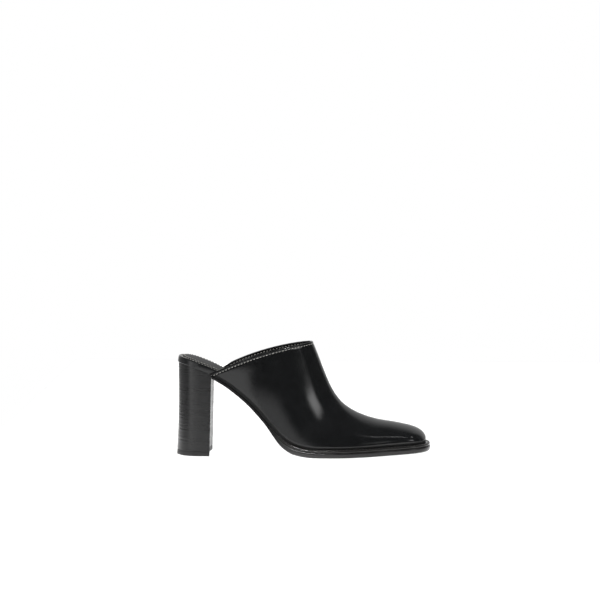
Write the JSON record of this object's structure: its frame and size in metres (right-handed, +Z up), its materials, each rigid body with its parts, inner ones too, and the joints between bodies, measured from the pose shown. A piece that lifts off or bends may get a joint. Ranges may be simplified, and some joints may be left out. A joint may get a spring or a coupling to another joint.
{
  "type": "mule shoe",
  "caption": "Block-heel mule for the right foot: closed, softly squared toe, high instep, open back, welted sole edge and stacked heel.",
  "frame": {"origin": "on the floor, below the middle of the shoe's length and width", "axes": "+X towards the toe, +Y towards the inner side of the foot, +Z up"},
  "size_m": [0.233, 0.0815, 0.1043],
  "materials": {
    "upper_calf": "polished smooth calf, black",
    "sole_leather": "black inked edge, satin",
    "welt_leather": "black inked edge, waxed",
    "stacked_heel": "black stacked leather look, satin",
    "top_lift_rubber": "matte black",
    "insole_leather": "smooth calf wrapped over the board, black",
    "sock_leather": "soft lining leather, black"
  },
  "bodies": {
    "root": {"outsole": "sole_leather", "welt": "welt_leather", "heel": "stacked_heel", "top_lift": "top_lift_rubber", "insole": "insole_leather", "sock": "sock_leather", "upper": "upper_calf"}
  },
  "joints": []
}
